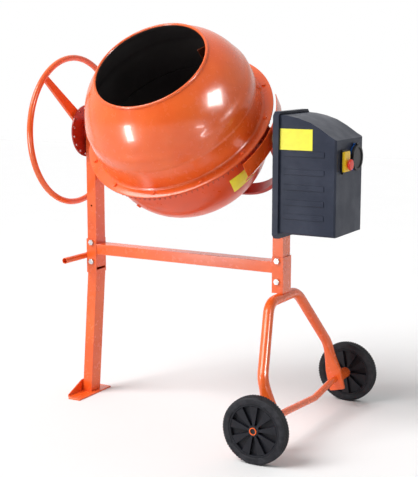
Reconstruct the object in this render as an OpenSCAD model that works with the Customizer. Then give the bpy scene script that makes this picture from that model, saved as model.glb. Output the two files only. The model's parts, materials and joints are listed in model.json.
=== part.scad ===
// Tilting-drum concrete mixer with handwheel, ring-gear drive and two road wheels.
// Millimetres, +Z up, X along the tilt axis, -Y is the side the drum mouth leans to.
// Origin: middle of the footprint, on the floor.

/* [Overall] */
// Length from handwheel rim to stop button
overall_length = 1027; // [900:1:1240]
// Height of the tilt axis above the floor
axis_height = 902; // [780:1:1080]
// Distance between the two upright posts, centre to centre
post_span = 693.5; // [672:0.5:740]

/* [Frame] */
// Post and beam tube width
post_width = 35; // [30:1:44]
// Post and beam tube depth
post_depth = 52; // [44:1:60]
// Height of the joint between upper post and leg
joint_height = 440; // [400:1:480]
// Lean of the left leg in degrees
leg_lean = 4.1; // [0:0.1:8]
// Height of the cross beam centre
beam_height = 507; // [480:1:530]
// Length of the transport handle
handle_length = 170; // [120:5:230]
// Outside diameter of the bent wheel frame tube
frame_tube = 33; // [28:1:38]

/* [Wheels] */
// Road wheel diameter
wheel_diameter = 200; // [170:1:230]
// Road wheel width
wheel_width = 34; // [28:1:42]
// Distance between the wheel centre planes
wheel_track = 682; // [600:2:760]
// Wheel axle distance outboard of the right post
wheel_offset = 88.7; // [60:0.5:110]

/* [Drum] */
// Resting lean of the drum axis from upright in degrees
drum_tilt = 42.8; // [0:0.2:80]
// Drum body radius
drum_radius = 274; // [262:1:276]
// Mouth radius, inside
mouth_radius = 176; // [150:1:195]
// Height of the mouth plane above the tilt axis along the drum axis
mouth_height = 303; // [280:1:330]
// Flange radius
flange_radius = 308.5; // [306:0.5:312]
// Number of ring gear teeth
ring_teeth = 108; // [96:12:120]
// Number of pinion teeth
pinion_teeth = 12; // [12:1:12]

/* [Handwheel] */
// Handwheel centre-line radius
hand_radius = 240.6; // [190:1:270]
// Handwheel tube diameter
hand_tube = 20; // [16:1:26]

/* [Housing] */
// Motor housing half depth
housing_half = 96; // [90:1:120]
// Bottom of the housing cover above the floor
housing_bottom = 626; // [600:1:660]
// Drive pulley belt radius
drive_pulley_radius = 62; // [50:1:66]

/* [Hidden] */
run = 0.1;            // radial running clearance
seat = 0.05;          // radial clearance of seated parts
gap = 0.3;            // gap between bodies that pass each other
belt_gap = 0.6;       // belt to pulley, allows for the belt's flat chords
eps = 1;              // overshoot of cuts
wall = 3;             // tube and shell wall
fine = 96;
mid = 48;
hex = 6;

x_min = -overall_length / 2;
x_max = overall_length / 2;
hand_x = x_min + hand_tube / 2;
hand_offset = 81.2;
left_x = hand_x + hand_offset;
right_x = left_x + post_span;
hw = post_width / 2;
hd = post_depth / 2;
drum_x = (left_x + right_x) / 2 + 2.75;
za = axis_height;
post_top = za + 38;
slit = 4;             // half the opening between upper post and leg
plug_up = 214;        // small hole in the left post, above the joint
plug_d = 7;
up_base = joint_height + slit;
leg_top = joint_height - slit;

sleeve_wall = 3;
sleeve_low = joint_height - 15;
sleeve_high = joint_height + 101;
bolt_d = 10;
bolt_high = joint_height + 89;
bolt_low = joint_height + 24;
nut_flat = 17;
nut_h = 8;
head_h = 6.5;

foot_front = 120;
foot_back = 66;
foot_t = 5;
foot_in = 20;
foot_out = hw + 6.5;
web_h = 38;

wheel_r = wheel_diameter / 2;
track_h = wheel_track / 2;
wheel_x = right_x + wheel_offset;
axle_d = 22;
axle_bore = 17;
axle_end = track_h + wheel_width / 2 + 2;
leg_y = 237;
flat_t = 14;
flat_w = 52;
flat_low = -36;
flat_top = 34;
top_flat = 59;
top_bend = 72;
low_bend = 60;
leg_slope = 35.3;
stub_top = joint_height + 101;
stub_low = joint_height - 12;
splay = atan((wheel_x - right_x - 4) / (stub_low - wheel_r));
slant = (stub_low - wheel_r) / cos(splay);
apex = slant - frame_tube / 2 + 0.5;
collar_d = 35;
collar_gap = 1.5;
hub_d = 40;
hub_in = wheel_width / 2;
hub_face = 12;
washer_t = 2;
pin_d = 4;
rim_r = wheel_r * 0.78;
spokes = 9;
tread_n = 30;

journal_d = 36;
journal_bore = 24;
bush_d = 44;
bush_flange = 56;
bush_t = 4;
arm_in = 299.5;
arm_t = 8;
arm_w = 22;
arm_end = 24;
arm_corner = 170;
cross_h = -246;
disc_r = 86;
disc_t = 5;
disc_gap = 10;
disc_boss = 60;
notches = 16;
notch_d = 9;
disc_screw_a = [45, 225];
disc_screw_r = 36;
disc_screw_d = 6;
spoke_x = left_x - hw - 21.2;
spoke_a = 131.5;      // angle of the spokes from +Y
spoke_w = 20;         // half width at the hub
spoke_h = 10;
spoke_t = 3;
spoke_bend = 70;
lug = 5.7;
lug_d = 8;

flange_h = 48.2;
sheet = 3;
bolt_ring = 290.8;
flange_bolts_n = 12;
flange_bolt_a = 37.2;
fb_d = 8;             // flange, hub and blade bolts
fb_head = 15;
hub_bolt_r = 48;
blade_a = [65, -115]; // angles of the two blades
blade_t = 4;
blade_high = -20;     // heights of the two bolts of a blade
blade_low = -82;
blade_r_high = 266.5;
blade_r_low = 255.9;
blade_lean = 16.5;
blade_side = 10;
pitch_r = 286;
module_p = 2 * pitch_r / ring_teeth;
pinion_pr = module_p * pinion_teeth / 2;
add = module_p * 0.87;
ded = module_p * 1.1;
ring_in = 272.4;
ring_out = 300.6;
tooth_w = module_p * 1.14;
pinion_in = 275;
pinion_len = 22;
shaft_d = 20;
guard_r = 315;
guard_t = 2.5;
guard_a = 28;
guard_low = -12;
guard_skirt = -50;
hub_len = 40;
drum_hub_d = 70;
hub_low = cross_h - hub_len + 12;
spindle_d = 25;
bearing_d = 52;
bearing_t = 15;
bowl_floor = -208;

pulley_x = right_x + hw + 24;
pulley_w = 20;
belt_t = 4;
motor_drop = 140;
motor_pulley_r = 12;
motor_z = za - motor_drop;
motor_r = 56;
motor_x0 = pulley_x + pulley_w + 18;
motor_len = 118;
motor_shaft = 14;
fins = 10;
fin_t = 3;
fin_in = 14;
cradle_t = 4;
housing_bolt_z = [za - 219, za - 52];
rim_x = right_x + hw;
rim_t = 18.8;
floor_t = 3.5;
stand = 26;
cover_end = x_max - stand;
cover_x = rim_x + floor_t;
cover_wall = 3;
housing_back = housing_half + 12;
rim_half = housing_half + 8;
rim_back = housing_back + 8;
rim_low = housing_bottom - 16;
rim_high = za + 86;
top_front = za + 78;
end_high = za + 7;
screw_in = 12;        // cover screws, in from the cover's sides
boss_w = 14;
boss_l = 22;
cover_screw_at = [for (z = [housing_bottom + 14, za - 56, za + 62]) for (s = [-1, 1])
    [s > 0 ? housing_back - screw_in : screw_in - housing_half, z]];
rib_z = [za - 43, za - 96.5, za - 142, za - 187, za - 229];
plate_x = cover_x + 17;
plate_l = 104;
plate_h = 62;

switch_y = -44.5;
switch_z = za - 53.5;
switch_w = 40;
switch_hh = 63;
switch_t = 6;
flap_t = 8;
stop_r = 16;
start_d = 14;
start_z = switch_z - switch_hh / 2 + 44;
inlet_y = 39;
inlet_z = za - 51;
inlet_r = 38;
knuckle_d = 7;
knuckle_x = 5;
knuckle_up = 3;

orange = [0.96, 0.36, 0.15];
deep = [0.55, 0.13, 0.06];
slate = [0.17, 0.19, 0.24];
dark = [0.07, 0.07, 0.08];
zinc = [0.72, 0.73, 0.74];
steel = [0.55, 0.56, 0.58];
yellow = [0.97, 0.85, 0.12];
red = [0.85, 0.12, 0.08];
blue = [0.1, 0.35, 0.75];
green = [0.1, 0.5, 0.2];
bronze = [0.6, 0.45, 0.2];
rubber = [0.06, 0.06, 0.065];

// ---------- shared shapes ----------
module bar(d, len) {
    cylinder(d = d, h = len, $fn = mid);
}

module xbar(d, x0, x1, f = mid) {
    translate([x0, 0, 0]) rotate([0, 90, 0]) cylinder(d = d, h = x1 - x0, $fn = f);
}

module ybar(d, y0, y1) {
    translate([0, y1, 0]) rotate([90, 0, 0]) cylinder(d = d, h = y1 - y0, $fn = mid);
}

module post_tube(z0, z1) {
    difference() {
        translate([-hw, -hd, z0]) cube([post_width, post_depth, z1 - z0]);
        translate([-hw + wall, -hd + wall, z0 - eps])
            cube([post_width - 2 * wall, post_depth - 2 * wall, z1 - z0 + 2 * eps]);
    }
}

module nut(flat, h, bore) {
    difference() {
        cylinder(d = flat / cos(30), h = h, $fn = hex);
        translate([0, 0, -eps]) cylinder(d = bore, h = h + 2 * eps, $fn = mid);
    }
}

module through_bolts(d) {
    for (z = [bolt_low, bolt_high]) translate([0, 0, z]) ybar(d, -hd - 20, hd + 20);
}

module in_drum() {
    translate([drum_x, 0, za]) rotate([drum_tilt, 0, 0]) children();
}

module arc_bend(r, d, a) {
    rotate_extrude(angle = a, $fn = fine) translate([r, 0]) circle(d = d, $fn = mid);
}

// ---------- frame ----------
module left_leg() {
    color(orange) intersection() {
        translate([left_x, 0, leg_top]) rotate([0, leg_lean, 0]) translate([0, 0, -leg_top])
            post_tube(-40, leg_top + 20);
        union() {
            translate([left_x - 100, -hd - eps, foot_t])
                cube([160, post_depth + 2 * eps, sleeve_low - foot_t]);
            translate([left_x - hw, -hd - eps, foot_t])
                cube([post_width, post_depth + 2 * eps, leg_top - foot_t]);
        }
    }
}

module left_foot() {
    drop = leg_top * tan(leg_lean);
    cx = left_x - drop;
    x0 = cx - foot_out;
    color(orange) {
        linear_extrude(foot_t) polygon([[x0, -foot_front + 16], [x0 + 14, -foot_front],
            [cx + foot_in + 16, -foot_front], [cx + foot_in + 16, foot_back],
            [x0 + 14, foot_back], [x0, foot_back - 16]]);
        translate([x0, 0, foot_t]) rotate([90, 0, 90]) linear_extrude(4)
            polygon([[-foot_front + 16, 0], [foot_back - 16, 0], [foot_back - 16, 4],
                [hd, web_h], [-hd, web_h], [-foot_front + 16, 4]]);
    }
}

module left_upper_post() {
    color(orange) translate([left_x, 0, 0]) difference() {
        post_tube(up_base, post_top);
        translate([0, 0, za]) xbar(bush_d + 2 * seat, -hw - eps, hw + eps);
        translate([0, 0, bolt_high]) ybar(bolt_d + 2 * seat, -hd - eps, hd + eps);
        translate([0, 0, bolt_low]) ybar(bolt_d + 2 * seat, -hd - eps, hd + eps);
        translate([0, 0, joint_height + plug_up]) ybar(plug_d, -hd - eps, -hd + wall + eps);
        for (a = disc_screw_a) translate([0, 0, za]) rotate([a, 0, 0])
            translate([0, 0, disc_screw_r]) xbar(disc_screw_d, -hw - eps, -hw + wall + eps);
    }
}

module sleeve_channel(open_side) {
    w = post_width + sleeve_wall;
    x0 = open_side > 0 ? -hw - sleeve_wall : -hw;
    cut = open_side > 0 ? -hw : -hw - eps;
    difference() {
        translate([x0, -hd - sleeve_wall, sleeve_low])
            cube([w, post_depth + 2 * sleeve_wall, sleeve_high - sleeve_low]);
        translate([cut, -hd, sleeve_low - eps])
            cube([post_width + eps, post_depth, sleeve_high - sleeve_low + 2 * eps]);
        through_bolts(bolt_d + 2 * seat);
    }
}

module left_sleeve() {
    color(orange) translate([left_x, 0, 0]) sleeve_channel(1);
}

module right_upper_post() {
    color(orange) translate([right_x, 0, 0]) difference() {
        post_tube(stub_low + 6, post_top);
        translate([0, 0, za]) xbar(bush_d + 2 * seat, -hw - eps, hw + eps);
        through_bolts(bolt_d + 2 * seat);
        for (z = housing_bolt_z) translate([0, 0, z])
            xbar(fb_d + 2 * seat, -hw - eps, hw + eps);
    }
}

module right_sleeve() {
    w = post_width + sleeve_wall;
    color(orange) translate([right_x, 0, 0]) difference() {
        translate([-hw, -hd - sleeve_wall, stub_low])
            cube([w, post_depth + 2 * sleeve_wall, stub_top - stub_low]);
        translate([-hw - eps, -hd, stub_low + 6])
            cube([post_width + eps, post_depth, stub_top - stub_low]);
        through_bolts(bolt_d + 2 * seat);
    }
}

module cross_beam() {
    x0 = left_x + hw;
    x1 = right_x - hw;
    z0 = beam_height - hw;
    color(orange) difference() {
        translate([x0, -hd, z0]) cube([x1 - x0, post_depth, post_width]);
        translate([x0 - eps, -hd + wall, z0 + wall])
            cube([x1 - x0 + 2 * eps, post_depth - 2 * wall, post_width - 2 * wall]);
    }
}

module frame_bolts() {
    y0 = hd + sleeve_wall;
    color(zinc) for (x = [left_x, right_x], z = [bolt_low, bolt_high]) translate([x, 0, z]) {
        ybar(bolt_d, -y0 - 0.5, y0 + nut_h + 3);
        translate([0, -y0, 0]) rotate([90, 0, 0]) cylinder(d = nut_flat / cos(30), h = head_h, $fn = hex);
    }
}

module frame_nuts() {
    y0 = hd + sleeve_wall;
    color(zinc) for (x = [left_x, right_x], z = [bolt_low, bolt_high])
        translate([x, y0 + nut_h, z]) rotate([90, 0, 0]) nut(nut_flat, nut_h, bolt_d + 2 * seat);
}

module transport_handle() {
    d = 20;
    x = left_x - hw - sleeve_wall - d / 2;
    z = joint_height + 41;
    color(orange) translate([x, 0, z]) difference() {
        ybar(d, -handle_length + 30, 30);
        ybar(d - 4, -handle_length + 30 - eps, 30 + eps);
    }
}

module wheel_leg(s) {
    r = top_bend;
    q = low_bend;
    a = leg_slope;
    y1 = top_flat + r * cos(a);
    z1 = apex - r + r * sin(a);
    y2 = leg_y - q + q * cos(a);
    z3 = z1 - q * sin(a) - (y2 - y1) / tan(a);
    len = (y2 - y1) / sin(a);
    mirror([0, s < 0 ? 1 : 0, 0]) {
        translate([0, 0, apex]) ybar(frame_tube, 0, top_flat);
        translate([0, top_flat, apex - r]) rotate([0, -90, 0]) arc_bend(r, frame_tube, 90 - a);
        translate([0, y1, z1]) rotate([180 + a, 0, 0]) bar(frame_tube, len);
        for (p = [[0, apex], [top_flat, apex], [y1, z1], [y2, z3 + q * sin(a)], [leg_y, z3]])
            translate([0, p[0], p[1]]) sphere(d = frame_tube + 0.3, $fn = mid);
        translate([0, leg_y - q, z3]) rotate([90, 0, 90]) arc_bend(q, frame_tube, a);
        hull() {
            translate([0, leg_y, z3 - 1]) cylinder(d = frame_tube, h = 1.2, $fn = 32);
            translate([-flat_w / 2, leg_y - flat_t / 2, flat_top - 1]) cube([flat_w, flat_t, 1]);
        }
        translate([-flat_w / 2, leg_y - flat_t / 2, flat_low]) cube([flat_w, flat_t, flat_top - flat_low]);
    }
}

module wheel_frame() {
    color(orange) difference() {
        translate([wheel_x, 0, wheel_r]) rotate([0, -splay, 0]) {
            wheel_leg(1);
            wheel_leg(-1);
        }
        translate([wheel_x, 0, wheel_r]) ybar(axle_d + 2 * seat, -leg_y - 30, leg_y + 30);
        translate([right_x - 60, -40, stub_low]) cube([120, 80, 60]);
    }
}

module axle() {
    bend = [[-206, 0], [-150, -3], [70, -19], [206, 0]];
    color(orange) translate([wheel_x, 0, wheel_r]) difference() {
        union() {
            ybar(axle_d, -axle_end, bend[0][0]);
            ybar(axle_d, bend[3][0], axle_end);
            for (i = [0:2]) {
                a = bend[i];
                b = bend[i + 1];
                l = norm(b - a);
                translate([0, a[0], a[1]]) rotate([-90 + atan2(b[1] - a[1], b[0] - a[0]), 0, 0]) bar(axle_d, l);
            }
            for (p = bend) translate([0, p[0], p[1]]) sphere(d = axle_d + 0.2, $fn = mid);
            for (m = [0, 1]) mirror([0, m, 0])
                ybar(collar_d, leg_y + flat_t / 2 + seat, track_h - hub_in - collar_gap);
        }
        for (s = [-1, 1]) translate([0, s * axle_end, 0]) ybar(axle_bore, -60, 60);
        for (s = [-1, 1]) translate([0, s * (track_h + 11.5), -axle_d]) bar(pin_d + 2 * seat, 2 * axle_d);
    }
}

module rim(s) {
    face = wheel_width / 2 - 2;
    web = 3;
    color(rubber) translate([wheel_x, s * track_h, wheel_r]) rotate([90, 0, 0]) difference() {
        union() {
            translate([0, 0, -face]) cylinder(r = rim_r, h = 2 * face, $fn = fine);
            translate([0, 0, -hub_in]) cylinder(d = hub_d, h = 2 * hub_in, $fn = mid);
        }
        translate([0, 0, -wheel_width]) cylinder(d = axle_d + 2 * run, h = 2 * wheel_width, $fn = mid);
        for (k = [0:spokes - 1], m = [0, 1]) rotate([0, 0, 90 + k * 360 / spokes]) mirror([0, 0, m])
            translate([0, 0, web]) linear_extrude(face) polygon([
                [hub_d / 2 + 5, -6], [rim_r - 12, -rim_r * 0.19], [rim_r - 9, 0],
                [rim_r - 12, rim_r * 0.19], [hub_d / 2 + 5, 6]]);
        translate([0, 0, s > 0 ? -hub_in - eps : hub_in - 10])
            cylinder(d = hub_d - 4, h = 10 + eps, $fn = mid);
    }
}

module tyre(s) {
    h = wheel_width / 2;
    color(rubber) translate([wheel_x, s * track_h, wheel_r]) rotate([90, 0, 0]) difference() {
        rotate_extrude($fn = fine) polygon([[rim_r, -h + 3], [rim_r + 3, -h], [wheel_r - 7, -h],
            [wheel_r - 2, -h + 4], [wheel_r, -h + 9], [wheel_r, h - 9], [wheel_r - 2, h - 4],
            [wheel_r - 7, h], [rim_r + 3, h], [rim_r, h - 3]]);
        for (k = [0:tread_n - 1], m = [0, 1]) mirror([0, 0, m]) rotate([0, 0, (k + m / 2) * 360 / tread_n])
            translate([wheel_r - 4, -3, 2]) cube([8, 6, h]);
    }
}

module near_wheel_rim() {
    rim(-1);
}

module near_wheel_tyre() {
    tyre(-1);
}

module far_wheel_rim() {
    rim(1);
}

module far_wheel_tyre() {
    tyre(1);
}

module axle_washers() {
    y = track_h + hub_in - 10 + gap;
    color(zinc) for (s = [-1, 1]) translate([wheel_x, s * (y + washer_t / 2), wheel_r]) difference() {
        ybar(hub_d - 6, -washer_t / 2, washer_t / 2);
        ybar(axle_d + 2 * seat, -washer_t, washer_t);
    }
}

module axle_pins() {
    color(zinc) for (s = [-1, 1]) translate([wheel_x, s * (track_h + 11.5), wheel_r - 16]) bar(pin_d, 32);
}

// ---------- tilt bearings, locking disc, handwheel ----------
module bush(x0, s) {
    color(bronze) translate([x0, 0, za]) difference() {
        union() {
            xbar(bush_d, -hw, hw);
            mirror([s > 0 ? 1 : 0, 0, 0]) xbar(bush_flange, hw, hw + bush_t);
        }
        xbar(journal_d + 2 * run, -hw - bush_t - eps, hw + bush_t + eps);
    }
}

module left_bearing() {
    bush(left_x, -1);
}

module right_bearing() {
    bush(right_x, 1);
}

module locking_disc() {
    x1 = left_x - hw;
    xd = x1 - disc_gap;
    color(deep) translate([0, 0, za]) difference() {
        union() {
            xbar(disc_boss, xd, x1);
            xbar(2 * disc_r, xd - disc_t, xd, fine);
            for (a = disc_screw_a) rotate([a, 0, 0]) translate([0, 0, disc_screw_r]) xbar(16, xd, x1);
        }
        xbar(journal_d + 2, xd - disc_t - eps, x1 + eps);
        for (k = [0:notches - 1]) rotate([(k + 0.5) * 360 / notches, 0, 0])
            translate([0, 0, disc_r - notch_d]) xbar(notch_d, xd - disc_t - eps, xd + eps);
        for (a = disc_screw_a) rotate([a, 0, 0]) translate([0, 0, disc_screw_r])
            xbar(disc_screw_d, xd - disc_t - eps, x1 + eps);
    }
}

module disc_screws() {
    xd = left_x - hw - disc_gap - disc_t;
    color(zinc) translate([0, 0, za]) for (a = disc_screw_a) rotate([a, 0, 0]) translate([0, 0, disc_screw_r]) {
        xbar(disc_screw_d - 2 * seat, xd - 0.5, left_x - hw + wall);
        xbar(11, xd - 3.5, xd, hex);
    }
}

module spoke_side(r0, r1, drop, t) {
    // outline in the radius / X plane
    polygon([[r0, 0], [r1, 0], [hand_radius, -drop], [hand_radius, -drop - t], [r1, -t], [r0, -t]]);
}

module spoke_plan(w0, w1) {
    polygon([[-30, -w0], [60, -w0], [hand_radius + 1, -w1], [hand_radius + 1, w1], [60, w0], [-30, w0]]);
}

module hand_spoke() {
    drop = spoke_x - hand_x - 4;
    difference() {
        intersection() {
            rotate([90, 0, 0]) translate([0, 0, -30]) linear_extrude(60)
                spoke_side(16, spoke_bend, drop, spoke_h);
            translate([0, 0, -200]) linear_extrude(400) spoke_plan(spoke_w, spoke_w / 2);
        }
        intersection() {
            rotate([90, 0, 0]) translate([0, 0, -30]) linear_extrude(60)
                translate([0, -spoke_t]) spoke_side(24, spoke_bend, drop, 2 * spoke_h);
            translate([0, 0, -200]) linear_extrude(400) spoke_plan(spoke_w - spoke_t, spoke_w / 2 - spoke_t);
        }
    }
}

module handwheel() {
    a = spoke_a;
    color(orange) translate([0, 0, za]) difference() {
        union() {
            translate([hand_x, 0, 0]) rotate([0, 90, 0])
                rotate_extrude($fn = fine) translate([hand_radius, 0]) circle(d = hand_tube, $fn = mid);
            for (k = [0, 180]) rotate([a + k, 0, 0]) translate([spoke_x, 0, 0])
                rotate([0, 90, 0]) rotate([0, 0, 90]) hand_spoke();
            xbar(50, spoke_x - 26, spoke_x);
            rotate([a - 90, 0, 0]) translate([0, 0, disc_r - notch_d]) xbar(lug_d, spoke_x - 4, spoke_x + lug);
            rotate([a - 90, 0, 0]) translate([spoke_x - 4, -lug_d, 10]) cube([4, 2 * lug_d, disc_r - 14]);
        }
        xbar(30 + 2 * run, spoke_x - 40, spoke_x + eps);
        xbar(42, spoke_x - 40, spoke_x - 6);
    }
}

module handwheel_nut() {
    x0 = spoke_x - 46;
    color(zinc) translate([0, 0, za]) difference() {
        union() {
            xbar(40, x0 + 8, x0 + 11);
            xbar(27, x0, x0 + 8, hex);
        }
        xbar(16 + 2 * seat, x0 - eps, x0 + 12);
    }
}

module handwheel_spring() {
    d = 3;
    x1 = spoke_x - 35;
    turns = 4;
    color(steel) translate([0, 0, za]) for (i = [0:turns - 1])
        translate([x1 + d / 2 + i * (d - 0.1), 0, 0]) rotate([0, 90, 0])
            rotate_extrude($fn = mid) translate([18, 0]) circle(d = d, $fn = 24);
}

// ---------- yoke ----------
module arm_path(o) {
    polygon(concat(
        [[-arm_in - o, 0], [-arm_in - o, cross_h - o + arm_corner]],
        [for (i = [0:12]) [-arm_in - o + arm_corner - arm_corner * cos(i * 7.5),
            cross_h - o + arm_corner - arm_corner * sin(i * 7.5)]],
        [for (i = [0:12]) [arm_in + o - arm_corner + arm_corner * sin(i * 7.5),
            cross_h - o + arm_corner - arm_corner * cos(i * 7.5)]],
        [[arm_in + o, cross_h - o + arm_corner], [arm_in + o, 0]]));
}

module yoke_arm() {
    color(deep) in_drum() difference() {
        union() {
            rotate([90, 0, 0]) translate([0, 0, -arm_w]) linear_extrude(2 * arm_w) difference() {
                arm_path(arm_t);
                arm_path(0);
                translate([-arm_in, -1]) square([2 * arm_in, 40]);
            }
            for (s = [-1, 1]) translate([s * (arm_in + arm_t / 2), 0, 0])
                xbar(2 * arm_end, -arm_t / 2, arm_t / 2);
            translate([0, 0, hub_low]) cylinder(d = drum_hub_d, h = hub_len, $fn = mid);
        }
        for (s = [-1, 1]) translate([s * (arm_in + arm_t / 2), 0, 0])
            xbar(30 + 2 * seat, -arm_t, arm_t);
        translate([0, 0, cross_h - hub_len]) cylinder(d = bearing_d + 2 * seat, h = hub_len + 30, $fn = mid);
        for (s = [-1, 1]) translate([arm_in, s * 16, -60]) xbar(6, -eps, arm_t + eps);
    }
}

module left_journal() {
    xa = drum_x - arm_in - arm_t;
    color(steel) translate([0, 0, za]) {
        xbar(30, xa, xa + arm_t);
        xbar(50, left_x + hw + bush_t + 0.5, xa);
        xbar(journal_d, spoke_x + 1, left_x + hw + bush_t + 0.5);
        xbar(30, spoke_x - 35, spoke_x + 1);
        xbar(16, spoke_x - 48, spoke_x - 35);
    }
}

module right_journal() {
    xa = drum_x + arm_in;
    color(steel) translate([0, 0, za]) difference() {
        union() {
            xbar(30, xa, xa + arm_t);
            xbar(journal_d, xa + arm_t, rim_x + 6);
        }
        xbar(journal_bore, xa - eps, rim_x + 7);
    }
}

module drum_bearings() {
    z0 = hub_low;
    color(steel) in_drum() for (z = [z0, z0 + hub_len - bearing_t]) translate([0, 0, z]) difference() {
        cylinder(d = bearing_d, h = bearing_t, $fn = mid);
        translate([0, 0, -eps]) cylinder(d = spindle_d + 2 * run, h = bearing_t + 2 * eps, $fn = mid);
    }
}

// ---------- drum ----------
module drum_spindle() {
    z1 = bowl_floor - sheet;
    z0 = hub_low;
    color(steel) in_drum() {
        translate([0, 0, z0 - 16]) bar(spindle_d, z1 - z0 + 16);
        translate([0, 0, z1 - 8]) difference() {
            cylinder(d = 130, h = 8, $fn = mid);
            for (k = [0:3]) rotate([0, 0, 45 + 90 * k]) translate([hub_bolt_r, 0, -eps])
                bar(fb_d + 2 * seat, 20);
        }
    }
}

module spindle_nut() {
    z0 = hub_low;
    color(zinc) in_drum() translate([0, 0, z0 - 13 - gap]) nut(36, 13, spindle_d + 2 * seat);
}

module spindle_bolts() {
    color(zinc) in_drum() for (k = [0:3]) rotate([0, 0, 45 + 90 * k]) translate([hub_bolt_r, 0, 0]) {
        translate([0, 0, bowl_floor - sheet - 8]) bar(fb_d, sheet + 8.5);
        translate([0, 0, bowl_floor]) cylinder(d = fb_head, h = 5, $fn = hex);
    }
}

module bowl_line(o) {
    // outer line of the bowl from flange down, pulled in by o
    s = drum_radius / 274;
    polygon([[0, bowl_floor - sheet + o], [118 * s, bowl_floor - sheet + o],
        [140 * s - o * 0.4, -206 + o * 0.9], [159 * s - o * 0.6, -199 + o * 0.8],
        [180 * s - o * 0.7, -186 + o * 0.7],
        [203 * s - o * 0.8, -168 + o * 0.6], [224 * s - o * 0.9, -145 + o * 0.5], [240 * s - o, -120 + o * 0.4],
        [252 * s - o, -95 + o * 0.2], [260 * s - o, -68], [265 * s - o, -38], [267.5 * s - o, -5],
        [268 * s - o, flange_h], [0, flange_h]]);
}

module lower_bowl() {
    color(orange) in_drum() difference() {
        rotate_extrude($fn = fine) difference() {
            union() {
                bowl_line(0);
                translate([0, flange_h - sheet]) square([flange_radius, sheet]);
            }
            difference() {
                bowl_line(sheet);
                translate([0, bowl_floor - 30]) square([400, 30]);
            }
        }
        for (k = [0:flange_bolts_n - 1]) rotate([0, 0, flange_bolt_a + k * 30])
            translate([bolt_ring, 0, flange_h - 10]) bar(fb_d + 2 * seat, 20);
        for (k = [0:3]) rotate([0, 0, 45 + 90 * k]) translate([hub_bolt_r, 0, bowl_floor - 10])
            bar(fb_d + 2 * seat, 20);
        blade_holes();
    }
}

module upper_drum() {
    r = drum_radius;
    m = mouth_radius;
    top = mouth_height;
    f = flange_h;
    color(orange) in_drum() difference() {
        rotate_extrude($fn = fine) {
            polygon([[r - 3, f], [flange_radius, f], [flange_radius, f + sheet], [r + 6, f + sheet],
                [r + 4, f + 6], [r + 1, f + 9], [r + 1, f + 75], [r, f + 110], [r - 4, f + 126],
                [r - 11, f + 140],
                [r - 19, f + 160], [r - 30, f + 182], [r - 43, f + 202], [r - 59, f + 221],
                [m + 19, top - 15], [m + 6, top - 3], [m + 3, top - 6], [m + 16, top - 18],
                [r - 62, f + 219], [r - 46, f + 200], [r - 33, f + 180], [r - 22, f + 158],
                [r - 14, f + 139], [r - 7, f + 125], [r - 3, f + 110]]);
            translate([m + 4, top - 2]) circle(r = 4, $fn = mid);
        }
        for (k = [0:flange_bolts_n - 1]) rotate([0, 0, flange_bolt_a + k * 30])
            translate([bolt_ring, 0, f - 5]) bar(fb_d + 2 * seat, 20);
    }
}

module ring_gear() {
    top = flange_h - sheet;
    root = pinion_pr + ded;
    tip = pinion_pr - add;
    color(steel) in_drum() difference() {
        union() {
            translate([0, 0, root]) difference() {
                cylinder(r = ring_out, h = top - root, $fn = fine);
                translate([0, 0, -eps]) cylinder(r = ring_in, h = top - root + 2 * eps, $fn = fine);
            }
            for (k = [0:ring_teeth - 1]) rotate([0, 0, k * 360 / ring_teeth]) translate([ring_in + 2, 0, 0])
                rotate([90, 0, 90]) linear_extrude(ring_out - ring_in - 4)
                    polygon([[-tooth_w * 0.74, root + 0.5], [-tooth_w * 0.34, tip],
                        [tooth_w * 0.34, tip], [tooth_w * 0.74, root + 0.5]]);
        }
        for (k = [0:flange_bolts_n - 1]) rotate([0, 0, flange_bolt_a + k * 30])
            translate([bolt_ring, 0, root + 1.5]) bar(fb_d + 2 * seat, 20);
    }
}

module flange_bolts() {
    root = pinion_pr + ded;
    color(orange) in_drum() for (k = [0:flange_bolts_n - 1]) rotate([0, 0, flange_bolt_a + k * 30])
        translate([bolt_ring, 0, 0]) {
            translate([0, 0, root + 2]) bar(fb_d, flange_h + sheet - root - 1.5);
            translate([0, 0, flange_h + sheet]) cylinder(d = fb_head, h = 5.5, $fn = hex);
        }
}

module at_blade_bolts() {
    // the bolt's seat on the bowl, X pointing out of the bowl
    translate([blade_r_high, blade_side, blade_high]) children();
    translate([blade_r_low, blade_side, blade_low]) rotate([0, blade_lean, 0]) children();
}

module blade_holes() {
    for (p = blade_a) rotate([0, 0, p]) at_blade_bolts() xbar(fb_d + 2 * seat, -25, 15);
}

module blade(p) {
    s = drum_radius / 274;
    tab = 22;
    color(orange) in_drum() rotate([0, 0, p]) difference() {
        union() {
            rotate([90, 0, 0]) translate([0, 0, -blade_t / 2]) linear_extrude(blade_t) polygon([
                [165, 222], [228 * s, 205], [248 * s, 170], [262 * s, 130], [264 * s, 60], [261 * s, -5],
                [252 * s, -70], [240 * s, -96], [205, -104], [188, -60], [180, 60]]);
            rotate([90, 0, 0]) translate([0, 0, -tab]) linear_extrude(tab + blade_t / 2) polygon([
                [254 * s, -5], [254 * s, -35], [261 * s, -35], [262 * s, -5]]);
            rotate([90, 0, 0]) translate([0, 0, -tab]) linear_extrude(tab + blade_t / 2) polygon([
                [248 * s, -70], [240 * s, -94], [247.8 * s, -94], [255 * s, -70]]);
        }
        at_blade_bolts() xbar(fb_d + 2 * seat, -25, 15);
    }
}

module mixing_blade_a() {
    blade(blade_a[0]);
}

module mixing_blade_b() {
    blade(blade_a[1]);
}

module blade_bolts() {
    color(zinc) in_drum() for (p = blade_a) rotate([0, 0, p]) at_blade_bolts() {
        xbar(fb_d, -14, 0.5);
        xbar(fb_head, 0.05, 5, hex);
    }
}

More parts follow.
